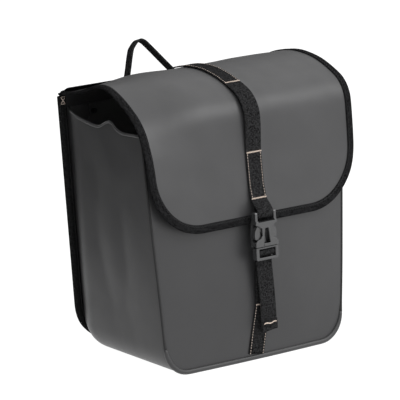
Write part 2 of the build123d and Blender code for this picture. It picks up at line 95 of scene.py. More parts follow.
BAR_U, BAR_Z, BAR_R = 204.0, 182.2, 1.8
BUCKLE_LEAN = math.radians(5.0)
ANCHOR_TOP = 66.0
HANDLE_X, HANDLE_V, HANDLE_Z = 47.0, 15.0, 311.0
HANDLE_LEAN = math.radians(20.0)

INSIDE = Vector((0.0, 0.0, 0.2))  # a point inside the bag, in metres: sheets look away from it
FORWARDS = Vector((0, -1, 0))  # the scene's direction from the back of the bag to its front


def place(x, u, z):
    return Vector((x, BACK_Y - u, z + LIFT)) * MM


# ---- meshes ----
def add_piece(name, points, faces, uvs=None):
    mesh = bpy.data.meshes.new(name)
    mesh.from_pydata([tuple(p) for p in points], [], faces)
    if uvs is not None:
        layer = mesh.uv_layers.new(name="metres")
        corners = np.empty(len(mesh.loops), np.int32)
        mesh.loops.foreach_get("vertex_index", corners)
        layer.data.foreach_set("uv", np.asarray(uvs, np.float32)[corners].ravel())
    mesh.polygons.foreach_set("use_smooth", [True] * len(mesh.polygons))
    mesh.update()
    piece = bpy.data.objects.new(name, mesh)
    bpy.context.scene.collection.objects.link(piece)
    return piece


def grid_faces(rows, columns, closed=False, start=0):
    last = columns if closed else columns - 1
    return [(start + i * columns + j, start + i * columns + (j + 1) % columns,
             start + (i + 1) * columns + (j + 1) % columns, start + (i + 1) * columns + j)
            for i in range(rows - 1) for j in range(last)]


def facing_out(points, faces, sample, inside):
    """The faces, turned over if a sample of them looks towards the point inside."""
    outwards = 0.0
    for face in sample:
        a, b, c = (points[i] for i in face[:3])
        outwards += (b - a).cross(c - a).dot(a - inside)
    return [face[::-1] for face in faces] if outwards < 0 else faces


def sheet_piece(name, rows, uvs, thickness=SKIN):
    """A cloth sheet from rows of points on its outer face, thickened inwards."""
    points = [p for row in rows for p in row]
    faces = grid_faces(len(rows), len(rows[0]))
    faces = facing_out(points, faces, faces[::7], INSIDE)
    piece = add_piece(name, points, faces, [uv for row in uvs for uv in row])
    solid = piece.modifiers.new("thickness", "SOLIDIFY")
    solid.thickness = thickness * MM
    solid.offset = -1.0
    rounder = piece.modifiers.new("smooth", "SUBSURF")
    rounder.levels = rounder.render_levels = 1
    return piece


def swept_piece(name, sections, uvs):
    """A closed section carried along a path; every section has the same number of points."""
    points = [p for section in sections for p in section]
    count = len(sections[0])
    faces = grid_faces(len(sections), count, closed=True)
    faces.append(tuple(range(count))[::-1])
    faces.append(tuple(len(points) - count + i for i in range(count)))
    faces = facing_out(points, faces, faces[:count], sum(sections[0], Vector()) / count)
    return add_piece(name, points, faces, [uv for row in uvs for uv in row])


def lengths(points):
    total = [0.0]
    for a, b in zip(points, points[1:]):
        total.append(total[-1] + (b - a).length)
    return total


def girth_of(section):
    """The length round a section from its first point, at each of its points."""
    return lengths([Vector((a, b, 0)) for a, b in section])


def spread(half, steps):
    """Evenly spaced places across a width, from -half to half."""
    return [-half + 2 * half * j / steps for j in range(steps + 1)]


def ring(centre, side, over, radius, count):
    """Points evenly round a circle in the plane of two directions."""
    turns = [2 * math.pi * k / count for k in range(count)]
    return [centre + (side * math.cos(a) + over * math.sin(a)) * radius for a in turns]


def tangents(points):
    out = []
    for i in range(len(points)):
        a, b = points[max(i - 1, 0)], points[min(i + 1, len(points) - 1)]
        out.append((b - a).normalized())
    return out


FINE_STEPS = 8  # the steps between two given points that resample() measures along


def resample(points, step):
    """Points at an even spacing, on a smooth line through the given ones."""
    gaps = lengths(points)
    gaps = [max(b - a, 1e-9) for a, b in zip(gaps, gaps[1:])]
    slopes = [(points[1] - points[0]) / gaps[0]]
    for i in range(1, len(points) - 1):
        slopes.append((points[i + 1] - points[i - 1]) / (gaps[i] + gaps[i - 1]))
    slopes.append((points[-1] - points[-2]) / gaps[-1])
    dense = []
    for i, gap in enumerate(gaps):
        for k in range(FINE_STEPS):
            t = k / FINE_STEPS
            dense.append(points[i] * (2 * t ** 3 - 3 * t * t + 1)
                         + slopes[i] * (gap * (t ** 3 - 2 * t * t + t))
                         + points[i + 1] * (3 * t * t - 2 * t ** 3)
                         + slopes[i + 1] * (gap * (t ** 3 - t * t)))
    dense.append(points[-1])
    along = lengths(dense)
    count = max(2, round(along[-1] / step))
    out = []
    k = 0
    for i in range(count + 1):
        target = along[-1] * i / count
        while k < len(along) - 2 and along[k + 1] < target:
            k += 1
        span = max(along[k + 1] - along[k], 1e-9)
        out.append(dense[k].lerp(dense[k + 1], (target - along[k]) / span))
    return out


# ---- the bag's surfaces ----
def soft_noise(x, y, z, size, seed=0.0):
    return noise.noise(Vector((x / size + seed, y / size, z / size)))


PATH_SIDE, PATH_ARC, PATH_FLAT = 26, 9, 20  # steps down a side, round a corner, along the bottom
LEFT_COUNT = PATH_SIDE + PATH_ARC + 1  # the path's points down to the start of the bottom


def rounded_path(half_top, top, half_bottom, bottom, radius, side=PATH_SIDE, arc=PATH_ARC,
                 flat=PATH_FLAT):
    """(x, z) points down the left side, round the corner, along the bottom and up the right."""
    slope = (half_top - half_bottom) / (top - bottom)
    tilt = math.atan(slope)
    turn = math.pi / 2 - tilt
    cut = radius * math.tan(turn / 2)
    join = (-half_bottom - cut * math.sin(tilt), bottom + cut * math.cos(tilt))
    left = [(-half_top + (join[0] + half_top) * i / side, top + (join[1] - top) * i / side)
            for i in range(side)]
    centre = (-half_bottom + cut, bottom + radius)
    for i in range(arc):
        angle = math.pi + tilt + turn * i / arc
        left.append((centre[0] + radius * math.cos(angle), centre[1] + radius * math.sin(angle)))
    run = half_bottom - cut
    middle = [(x, bottom) for x in spread(run, flat)]
    return left + middle + [(-x, z) for x, z in reversed(left)]


# the front bulges most at one height: how far at its foot and there, and its drop above
CROWN_Z, CROWN_FOOT, CROWN_MOST, CROWN_DROP = 110.0, 4.0, 16.0, 14.0


def front_crown(z):
    if z < CROWN_Z:
        low = min(max((z + 10.0) / 120.0, 0.0), 1.0)
        return CROWN_FOOT + (CROWN_MOST - CROWN_FOOT) * math.sin(low * math.pi / 2)
    high = min((z - CROWN_Z) / 220.0, 1.0)
    return CROWN_MOST - CROWN_DROP * (1 - math.cos(high * math.pi / 2))


def front_face(x, z):
    """How far forward the crowned front of the bag is."""
    edge = DEPTH_BOTTOM + (DEPTH_TOP - DEPTH_BOTTOM) * z / RIM_FRONT
    return edge + front_crown(z) * (1 - (x / CROWN_HALF) ** 2)


def gusset_path(u):
    first, second, last = GUSSET
    if u < second[0]:
        low, high = first, second
        share = math.sin(math.pi / 2 * max(u, 0.0) / second[0])
    else:
        low, high = second, last
        share = (u - second[0]) / (last[0] - second[0])
    half_rim, half_bottom, radius = (a + (b - a) * share for a, b in zip(low[1:], high[1:]))
    rim = RIM_BACK + (RIM_FRONT - RIM_BACK) * u / DEPTH_TOP
    half_rim += (half_rim - half_bottom) / (RIM_FRONT - BASE) * (rim - RIM_FRONT)
    return rounded_path(half_rim, rim, half_bottom, BASE, radius)


GUSSET_COUNT = len(gusset_path(0.0))


def back_inside(z):
    """How far forward the inner face of the back is, at a height."""
    if z > TURN_Z:
        return SKIN
    reach = (BACK_ROUND - SKIN) ** 2 - (TURN_Z - z) ** 2
    return BACK_ROUND - math.sqrt(max(reach, 0.0))


SIDE_X = 125.0  # past this far from the middle, the sides take their full fullness
BELLY_OUT, BELLY_IN = 4.0, 3.5  # how far the sides swell at mid height, and draw in at the rim
VALLEY_AT, VALLEY_WIDTH, VALLEY_DEPTH = 0.52, 0.2, 5.0  # the dip down each side, by depth share
SIDE_RIPPLE = 1.8
RIM_SAG = 6.0
HEM_FOLD_U, HEM_FOLD_WIDTH, HEM_FOLD_RISE = 104.0, 13.0, 12.0


def shell_point(index, f):
    """A point of the sides and bottom: index counts round the outline, f from back to front."""
    u = SKIN + f * (DEPTH_TOP - SKIN)
    for _ in range(5):
        x, z = gusset_path(u)[index]
        start = back_inside(z)
        u = start + f * (front_face(x, z) - start)
    belly = math.sin(math.pi * f)
    height = min(max(z / RIM_FRONT, 0.0), 1.0)
    side = min(1.0, abs(x) / SIDE_X) ** 6 * min(1.0, max(0.0, (z - BASE) / 60.0))
    swell = math.sin(math.pi * height ** 0.8)
    valley = math.exp(-((f - VALLEY_AT) / VALLEY_WIDTH) ** 2)
    out = side * (belly * (BELLY_OUT * swell - BELLY_IN * height ** 3)
                  - VALLEY_DEPTH * valley * swell)
    out += side * belly * SIDE_RIPPLE * soft_noise(x, u, z, 62.0, 3.1)
    sag = RIM_SAG * belly * height ** 8
    if x < 0:  # the slack hem stands up into a fold under the flap
        fold_shape = math.exp(-((u - HEM_FOLD_U) / HEM_FOLD_WIDTH) ** 2)
        sag -= HEM_FOLD_RISE * fold_shape * height ** 14
    return Vector((x + math.copysign(out, x), u, z - sag))


def front_point(x, z):
    ripple = 1.2 * soft_noise(x, 0, z, 70.0, 7.7) * (1 - (x / CROWN_HALF) ** 2)
    return Vector((x, front_face(x, z) + ripple, z))


# ---- the flap ----
def circle_through(a, b, c):
    (ax, ay), (bx, by), (cx, cy) = a, b, c
    d = 2 * (ax * (by - cy) + bx * (cy - ay) + cx * (ay - by))
    sa, sb, sc = ax * ax + ay * ay, bx * bx + by * by, cx * cx + cy * cy
    x = (sa * (by - cy) + sb * (cy - ay) + sc * (ay - by)) / d
    y = (sa * (cx - bx) + sb * (ax - cx) + sc * (bx - ax)) / d
    return (x, y), math.hypot(ax - x, ay - y)


def on_circle(centre, radius, angle):
    return (centre[0] + radius * math.cos(angle), centre[1] + radius * math.sin(angle))


def angle_of(centre, point):
    return math.atan2(point[1] - centre[1], point[0] - centre[0])


TOP_CENTRE, TOP_RADIUS = circle_through(FLAP_START, FLAP_PEAK, FLAP_CREASE)
START_ANGLE = angle_of(TOP_CENTRE, FLAP_START)
CREASE_ANGLE = angle_of(TOP_CENTRE, FLAP_CREASE)
FOLD_CENTRE = on_circle(FLAP_CREASE, -FOLD_RADIUS, CREASE_ANGLE)
STRAIGHT_TOP = on_circle(FOLD_CENTRE, FOLD_RADIUS, LEAN)
TOP_LENGTH = TOP_RADIUS * (START_ANGLE - CREASE_ANGLE)
FOLD_LENGTH = FOLD_RADIUS * (CREASE_ANGLE - LEAN)
FLAP_LENGTH = TOP_LENGTH + FOLD_LENGTH + (STRAIGHT_TOP[1] - FLAP_BOTTOM) / math.cos(LEAN)


def flap_profile(s):
    """u, z and the angle of the outward normal, at a length s along the flap from its seam."""
    if s < TOP_LENGTH:
        angle = START_ANGLE - s / TOP_RADIUS
        return (*on_circle(TOP_CENTRE, TOP_RADIUS, angle), angle)
    s -= TOP_LENGTH
    if s < FOLD_LENGTH:
        angle = CREASE_ANGLE - s / FOLD_RADIUS
        return (*on_circle(FOLD_CENTRE, FOLD_RADIUS, angle), angle)
    s -= FOLD_LENGTH
    return STRAIGHT_TOP[0] + s * math.sin(LEAN), STRAIGHT_TOP[1] - s * math.cos(LEAN), LEAN


SLACK_STEPS = 60
SLACK_FROM = 70.0  # the slack grows from this far left of the middle to the left edge


def make_slack():
    """How the slack left edge of the flap differs from the even profile, at steps along it."""
    edge = [(2.8, 327.6), (25.0, 331.0), (50.0, 338.0), (72.0, 346.0), (92.0, 350.0),
            (114.0, 342.5), (139.8, 327.5), (161.4, 308.5), (178.0, 281.0), (186.0, 255.0),
            (192.0, 230.0), (198.0, FLAP_BOTTOM)]
    line = resample([Vector((0, u, z)) for u, z in edge], 4.0)
    along = lengths(line)
    table = []
    for i in range(SLACK_STEPS + 1):
        s = FLAP_LENGTH * i / SLACK_STEPS
        target = along[-1] * i / SLACK_STEPS
        k = min(range(len(along)), key=lambda j: abs(along[j] - target))
        u, z, _ = flap_profile(s)
        table.append((line[k].y - u, line[k].z - z))
    for _ in range(4):
        inner = [tuple((a + 2 * b + c) / 4 for a, b, c in zip(*three))
                 for three in zip(table, table[1:], table[2:])]
        table = [table[0]] + inner + [table[-1]]
    return table


SLACK = make_slack()


def smooth(value):
    value = min(max(value, 0.0), 1.0)
    return value * value * (3 - 2 * value)


def slack_at(x, s):
    share = smooth((-x - SLACK_FROM) / (FLAP_HALF - SLACK_FROM))
    spot = min(max(s / FLAP_LENGTH, 0.0), 1.0) * SLACK_STEPS
    k = min(int(spot), SLACK_STEPS - 1)
    (u0, z0), (u1, z1) = SLACK[k], SLACK[k + 1]
    return share * (u0 + (u1 - u0) * (spot - k)), share * (z0 + (z1 - z0) * (spot - k))


def flap_at(x, s, out=0.0):
    """A point at a distance outside the flap's outer face, in millimetres as (x, u, z)."""
    u, z, angle = flap_profile(s)
    hang = min(max((s - TOP_LENGTH) / (FLAP_LENGTH - TOP_LENGTH), 0.0), 1.0)
    off = math.copysign(max(abs(x) - 14.0, 0.0), x)  # the cloth is held flat under the strap
    wave = 1.4 * soft_noise(off, s, 0, 85.0, 1.3) + 0.6 * soft_noise(off, s, 0, 33.0, 5.9)
    pinch = -0.7 * math.exp(-((abs(x) - 21.0) / 6.0) ** 2)
    curl = -3.0 * hang * (abs(x) / FLAP_HALF) ** 4
    out += wave + pinch + curl
    du, dz = slack_at(x, s)
    return Vector((x, u + du + out * math.cos(angle), z + dz + out * math.sin(angle)))


def flap_place(x, s, out=0.0):
    return place(*flap_at(x, s, out))


def flap_edge(inset, step):
    """(x, s) points round the flap, inside its edge: down the left, along, up the right."""
    half, low, radius = FLAP_HALF - inset, FLAP_LENGTH - inset, FLAP_CORNER - inset
    straight = FLAP_LENGTH - FLAP_CORNER
    side = round(straight / step)
    turn = round(FLAP_CORNER * math.pi / 2 / step)
    across = round(2 * (FLAP_HALF - FLAP_CORNER) / step)
    left = [(-half, straight * i / side) for i in range(side)]
    for i in range(turn):
        angle = math.pi / 2 * i / turn
        left.append((-half + radius * (1 - math.cos(angle)), low - radius * (1 - math.sin(angle))))
    run = FLAP_HALF - FLAP_CORNER
    bottom = [(x, low) for x in spread(run, across)]
    return left + bottom + [(-x, s) for x, s in reversed(left)]


# ---- finishes ----
class Finish:
    """A material under construction: short calls for the nodes that the finishes share."""

    def __init__(self, name, colour, roughness, **sockets):
        self.material = bpy.data.materials.new(name)
        self.material.use_nodes = True
        self.tree = self.material.node_tree
        self.shader = self.tree.nodes["Principled BSDF"]
        self.shader.inputs["Base Color"].default_value = (*colour, 1)
        self.shader.inputs["Roughness"].default_value = roughness
        for socket, value in sockets.items():
            self.shader.inputs[socket.replace("_", " ")].default_value = value
        self.colour = colour
        self.normal = None

    def node(self, kind, **settings):
        made = self.tree.nodes.new(kind)
        for key, value in settings.items():
            setattr(made, key, value)
        return made

    def link(self, source, target):
        self.tree.links.new(source, target)

    def math(self, operation, *values):
        made = self.node("ShaderNodeMath", operation=operation)
        for socket, value in zip(made.inputs, values):
            if isinstance(value, (int, float)):
                socket.default_value = value
            else:
                self.link(value, socket)
        return made.outputs[0]

    def place(self):
        return self.node("ShaderNodeTexCoord").outputs["Object"]

    def across_along(self):
        """The piece's own measure across and along, in metres."""
        split = self.node("ShaderNodeSeparateXYZ")
        self.link(self.node("ShaderNodeTexCoord").outputs["UV"], split.inputs[0])
        return split.outputs[0], split.outputs[1]

    def noise(self, size, detail, rough=0.55):
        made = self.node("ShaderNodeTexNoise")
        made.inputs["Scale"].default_value = 1 / (size * MM)
        made.inputs["Detail"].default_value = detail
        made.inputs["Roughness"].default_value = rough
        self.link(self.place(), made.inputs["Vector"])
        return made.outputs[0]

    def ribs(self, value, period, shift=None):
        turns = self.math("MULTIPLY", value, 2 * math.pi / (period * MM))
        if shift is not None:
            turns = self.math("ADD", turns, shift)
        return self.math("SINE", turns)

    def speckle(self, weave, share, size):
        """The weave's own pattern with uneven yarns over it, spread over most of 0 to 1."""
        yarns = self.math("MULTIPLY", self.noise(size, 2.0, 0.7), 2.4)
        pattern = self.math("MULTIPLY", weave, share)
        return self.math("ADD", pattern, self.math("SUBTRACT", yarns, 0.7))

    def bump(self, height, depth, strength):
        made = self.node("ShaderNodeBump")
        made.inputs["Strength"].default_value = strength
        made.inputs["Distance"].default_value = depth * MM
        self.link(height, made.inputs["Height"])
        if self.normal is not None:
            self.link(self.normal, made.inputs["Normal"])
        self.normal = made.outputs[0]
        self.link(self.normal, self.shader.inputs["Normal"])

    def ramp(self, factor, low, high):
        """low where factor is 0, to high where it is 1."""
        made = self.node("ShaderNodeMapRange")
        made.inputs["To Min"].default_value = low
        made.inputs["To Max"].default_value = high
        self.link(factor, made.inputs["Value"])
        return made.outputs[0]

    def vary_colour(self, factor, low, high):
        """The base colour times low where factor is 0, to high where it is 1."""
        amount = self.ramp(factor, low, high)
        mix = self.node("ShaderNodeVectorMath", operation="SCALE")
        mix.inputs[0].default_value = self.colour
        self.link(amount, mix.inputs["Scale"])
        self.link(mix.outputs[0], self.shader.inputs["Base Color"])

    def vary_roughness(self, factor, low, high):
        self.link(self.ramp(factor, low, high), self.shader.inputs["Roughness"])


def coated_cloth(name, colour, roughness):
    """Coated fabric: a smooth satin skin with the base cloth's fine weave showing through."""
    made = Finish(name, colour, roughness, Specular_IOR_Level=0.5)
    across, along = made.across_along()
    weave = made.math("MULTIPLY", made.ribs(across, 0.9), made.ribs(along, 0.9))
    made.bump(weave, 0.02, 0.6)
    made.bump(made.noise(9.0, 4.0), 0.16, 0.5)
    made.bump(made.noise(55.0, 2.0), 1.4, 0.5)
    made.vary_colour(made.noise(38.0, 5.0, 0.62), 0.88, 1.14)
    made.vary_roughness(made.noise(24.0, 4.0), roughness - 0.07, roughness + 0.08)
    return made.material


def woven_tape(name, colour):
    """Narrow binding tape: fine ribs across it and a soft dull face."""
    made = Finish(name, colour, 0.85, Specular_IOR_Level=0.0)
    across, along = made.across_along()
    rib = made.ribs(along, 1.15, made.ribs(across, 1.3))
    cord = made.ribs(across, 0.8)
    made.bump(made.math("ADD", rib, made.math("MULTIPLY", cord, 0.5)), 0.14, 0.9)
    made.vary_colour(made.speckle(rib, 0.14, 2.0), 0.0, 2.4)
    return made.material


def webbing(name, colour):
    """Polyester webbing: chevron rows of ribs, a raised selvage and some fuzz."""
    made = Finish(name, colour, 0.8, Specular_IOR_Level=0.0)
    across, along = made.across_along()
    zig = made.math("PINGPONG", across, 0.0042)
    slant = made.math("MULTIPLY", zig, 2 * math.pi / (2.1 * MM))
    rib = made.ribs(along, 2.6, slant)
    yarn = made.ribs(across, 1.6)
    height = made.math("ADD", rib, made.math("MULTIPLY", yarn, 0.6))
    made.bump(height, 0.2, 0.9)
    made.bump(made.noise(1.2, 3.0), 0.12, 0.5)
    made.vary_colour(made.speckle(height, 0.14, 2.0), 0.0, 2.2)
    return made.material


def thread(name, colour):
    made = Finish(name, colour, 0.6, Specular_IOR_Level=0.3)
    made.bump(made.noise(0.5, 2.0), 0.1, 0.6)
    made.vary_colour(made.noise(2.2, 3.0), 0.7, 1.25)
    return made.material


def moulded(name, colour, roughness, grain, depth):
    """Moulded plastic with a fine spark grain and faint handling marks."""
    made = Finish(name, colour, roughness, Specular_IOR_Level=0.8)
    made.bump(made.noise(grain, 2.0), depth, 0.7)
    marks = made.noise(11.0, 6.0, 0.7)
    made.vary_roughness(marks, roughness - 0.08, roughness + 0.14)
    made.vary_colour(marks, 0.85, 1.15)
    return made.material


def brushed_metal(name, colour, roughness, stretch):
    made = Finish(name, colour, roughness, Metallic=1.0)
    squeeze = made.node("ShaderNodeMapping")
    squeeze.inputs["Scale"].default_value = stretch
    made.link(made.place(), squeeze.inputs["Vector"])
    lines = made.node("ShaderNodeTexNoise")
    lines.inputs["Scale"].default_value = 900.0
    lines.inputs["Detail"].default_value = 3.0
    made.link(squeeze.outputs[0], lines.inputs["Vector"])
    made.bump(lines.outputs[0], 0.02, 0.5)
    made.vary_roughness(lines.outputs[0], roughness - 0.07, roughness + 0.12)
    made.vary_colour(made.noise(14.0, 4.0), 0.85, 1.08)
    return made.material


# the flap and the body share one cloth; the body's copy is darker as painted shade, where the
# upward-leaning flap catches more light
CLOTH = coated_cloth("coated cloth", (0.028, 0.028, 0.0292), 0.44)
SHADED_SHELL_CLOTH = coated_cloth("coated cloth of the body made darker as painted shade", (0.021, 0.021, 0.0221), 0.42)
# near black: painted shadow in the seam's groove up the sides of the front
SEAM_SHADOW_CLOTH = coated_cloth("near black cloth as painted seam shadow", (0.006, 0.006, 0.0065), 0.7)
TAPE_FINISH = woven_tape("binding tape", (0.0105, 0.0105, 0.011))
WEBBING = webbing("webbing", (0.017, 0.017, 0.0175))
PALE_THREAD = thread("pale thread", (0.66, 0.55, 0.47))
DARK_THREAD = thread("dark thread", (0.016, 0.016, 0.017))
BUCKLE = moulded("buckle plastic", (0.030, 0.0304, 0.0316), 0.20, 0.9, 0.015)
HOOK = moulded("hook plastic", (0.020, 0.020, 0.021), 0.42, 0.8, 0.05)
BOARD = moulded("board plastic", (0.026, 0.026, 0.027), 0.5, 1.6, 0.08)
ALUMINIUM = brushed_metal("rail aluminium", (0.40, 0.41, 0.42), 0.34, (0.05, 1.0, 1.0))
STEEL = brushed_metal("zinc plated steel", (0.52, 0.53, 0.55), 0.26, (1.0, 1.0, 1.0))
BLACK_STEEL = brushed_metal("blackened steel", (0.05, 0.05, 0.052), 0.4, (1.0, 1.0, 1.0))


def finish_piece(piece, material):
    piece.data.materials.clear()
    piece.data.materials.append(material)
    return piece


# ---- cloth panels ----
def on_back(x, w, ahead=0.0):
    """A point of the back, which turns under at its foot: w is the height up the flat sheet."""
    if w >= TURN_Z:
        return Vector((x, ahead, w))
    angle = (TURN_Z - w) / BACK_ROUND
    past = max(0.0, angle - math.pi / 2) * BACK_ROUND
    angle = min(angle, math.pi / 2)
    radius = BACK_ROUND - ahead
    return Vector((x, BACK_ROUND - radius * math.cos(angle) + past,
                   TURN_Z - radius * math.sin(angle)))


def flat_height(z):
    if z >= TURN_Z:
        return z
    return TURN_Z - BACK_ROUND * math.asin(min(1.0, (TURN_Z - z) / BACK_ROUND))


def make_back():
    side, arc, steps = 26, 16, 44
    path = rounded_path(BACK_HALF_TOP, BACK_TOP, BACK_HALF_BOTTOM, BASE, BACK_CORNER, side, arc)
    rows, uvs = [], []
    for x0, z in path[:side + arc + 1]:
        w = flat_height(z)
        xs = spread(-x0, steps)
        rows.append([place(*on_back(x, w, -0.35 * max(0.0, soft_noise(x, 0, w, 48.0))))
                     for x in xs])
        uvs.append([(x * MM, w * MM) for x in xs])
    piece = finish_piece(sheet_piece("back_cloth", rows, uvs), SHADED_SHELL_CLOTH)
    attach(piece, "bag")
    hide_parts("back_panel")

    # the tape folded over the edge of the back, from one top corner round to the other
    edge = rounded_path(BACK_HALF_TOP, BACK_TOP - 3, BACK_HALF_BOTTOM, BASE, BACK_CORNER, side=60,
                        arc=22, flat=50)
    outline = [Vector((x, 0, flat_height(z))) for x, z in edge]
    inner = BACK_TAPE_WIDTH - TAPE
    section = [(inner, SKIN + 0.15), (inner - 0.3, SKIN + TAPE), (4.0, SKIN + TAPE + 0.1),
               (0.2, SKIN + TAPE - 0.1), (-TAPE + 0.1, SKIN * 0.5 + 0.6),
               (-TAPE + 0.1, SKIN * 0.5 - 0.6), (0.2, -TAPE + 0.2), (4.0, -TAPE),
               (inner - 0.3, -TAPE), (inner, -0.15)]
    tape = edge_tape("back_tape", resample(outline, 4.0), section)
    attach(tape, "bag")
    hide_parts("back_binding")

    zigzag = []
    for i, (point, inwards) in enumerate(outline_frames(resample(outline, 2.1))):
        p = point + inwards * (8.7 + (0.9 if i % 2 else -0.9))
        zigzag.append(place(*on_back(p.x, p.z, SKIN + TAPE + 0.25)))
    line = thread_tube("back_tape_thread", zigzag, 0.34)
    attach(line, "bag")

    def cross(dx, dz):
        return place(-160.5 + dx, SKIN + TAPE + 0.3, 317.0 + dz)

    corners = (((-3.2, -4.0), (3.2, 4.0)), ((-3.2, 4.0), (3.2, -4.0)),
               ((-3.6, -4.6), (3.6, -4.6)), ((-3.6, 4.6), (3.6, 4.6)))
    runs = [(cross(*start), cross(*end), FORWARDS) for start, end in corners]
    piece = stitches("corner_cross_stitch", runs, radius=0.5)
    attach(piece, "bag")


def outline_frames(path):
    """Each point of a flat outline in the X-Z plane, with the direction towards its inside."""
    out = []
    for point, along in zip(path, tangents(path)):
        inwards = Vector((-along.z, 0, along.x))
        if inwards.dot(Vector((0, 0, 170)) - point) < 0:
            inwards = -inwards
        out.append((point, inwards))
    return out


def edge_tape(name, path, section):
    """Tape folded over the back's edge; the section is (inside the edge, ahead) points."""
    rows, uvs = [], []
    along = lengths(path)
    girth = girth_of(section)
    for (point, inwards), run in zip(outline_frames(path), along):
        spots = [(point + inwards * inset, ahead) for inset, ahead in section]
        rows.append([place(*on_back(p.x, p.z, ahead)) for p, ahead in spots])
        uvs.append([(g * MM, run * MM) for g in girth])
    piece = swept_piece(name, rows, uvs)
    return finish_piece(piece, TAPE_FINISH)


def make_shell():
    depth_steps = 26
    shares = [j / depth_steps for j in range(depth_steps + 1)]
    rows, uvs = [], []
    girth = lengths([Vector((x, 0, z)) for x, z in gusset_path(90.0)])
    for index in range(GUSSET_COUNT):
        line = [shell_point(index, f) for f in shares]
        rows.append([place(*p) for p in line])
        uvs.append([(p.y * MM, girth[index] * MM) for p in line])
    piece = finish_piece(sheet_piece("body_cloth", rows, uvs), SHADED_SHELL_CLOTH)
    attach(piece, "bag")
    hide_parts("side_panel_left", "side_panel_right", "bottom_panel")


def near_bottom(z):
    """1 along the bottom of the bag, fading to 0 a little way up it."""
    return smooth((50.0 - z) / 45.0)


def seam_path():
    """The front edge of the sides and bottom, from the left rim round to the right rim."""
    return [shell_point(index, 1.0) for index in range(GUSSET_COUNT)]


def make_front():
    seam = seam_path()
    steps = 44
    rows, uvs = [], []
    for p in seam[:LEFT_COUNT]:
        half = -p.x - 0.4 - 2.0 * near_bottom(p.z)  # just inside the seam's lip
        lift = 2.4 * smooth((12.0 - p.z) / 19.0)
        xs = spread(half, steps)
        rows.append([place(*front_point(x, p.z + lift)) for x in xs])
        uvs.append([(x * MM, p.z * MM) for x in xs])
    piece = finish_piece(sheet_piece("front_cloth", rows, uvs), SHADED_SHELL_CLOTH)
    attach(piece, "bag")
    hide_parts("front_panel")

    # the rolled lip of the seam, fuller along the bottom; up the sides it is painted near black as
    # the shadow in the seam's groove
    path = resample(seam, 4.0)
    rows, uvs = [], []
    count = 12
    ahead = Vector((0, 1, 0))
    for point, tangent, run in zip(path, tangents(path), lengths(path)):
        out = tangent.cross(ahead).normalized()
        if out.dot(point - Vector((0, point.y, 170))) < 0:
            out = -out
        low = near_bottom(point.z)
        radius = 1.5 + 1.9 * low
        centre = point - out * (radius - 1.0) + ahead * (-0.6 + 0.6 * low)
        rows.append([place(*p) for p in ring(centre, out, ahead, radius, count)])
        uvs.append([(2 * math.pi * radius * k / count * MM, run * MM) for k in range(count)])
    lowest = [i for i, point in enumerate(path) if point.z < 30.0]
    first, last = lowest[0], lowest[-1] + 1
    parts = {"seam_lip": (first, last, SHADED_SHELL_CLOTH), "seam_left": (0, first + 1, SEAM_SHADOW_CLOTH),
             "seam_right": (last - 1, len(path), SEAM_SHADOW_CLOTH)}
    for name, (start, end, material) in parts.items():
        lip = swept_piece(name, rows[start:end], uvs[start:end])
        finish_piece(lip, material)
        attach(lip, "bag")
        if name == "seam_lip":
            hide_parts("front_seam_welt")


def rim_path():
    """Round the mouth of the bag, from the back of the left side to the back of the right."""
    last = GUSSET_COUNT - 1
    shares = [0.03 + 0.955 * i / 14 for i in range(15)]
    left = [shell_point(0, f) for f in shares]
    right = [shell_point(last, f) for f in reversed(shares)]
    xs = [-150.0 + 300.0 * i / 16 for i in range(17)]
    front = [Vector((x, front_face(x, RIM_FRONT), RIM_FRONT)) for x in xs]
    return left + front + right


def make_hem():
    path = resample(rim_path(), 6.0)
    rows, uvs = [], []
    section = [(0.55, -3.0), (0.75, -0.6), (0.2, 0.55), (-1.0, 0.7), (-2.0, -0.4), (-2.8, -4.0),
               (-4.6, -12.6), (-3.6, -13.0), (-1.6, -3.0)]
    girth = girth_of(section)
    for point, tangent, run in zip(path, tangents(path), lengths(path)):
        out = tangent.cross(Vector((0, 0, 1))).normalized()
        if out.dot(point - Vector((0, 80, point.z))) < 0:
            out = -out
        rows.append([place(*(point + out * a + Vector((0, 0, b)))) for a, b in section])
        uvs.append([(g * MM, run * MM) for g in girth])
    piece = finish_piece(swept_piece("rim_hem", rows, uvs), SHADED_SHELL_CLOTH)
    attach(piece, "bag")
    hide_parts("top_hem")


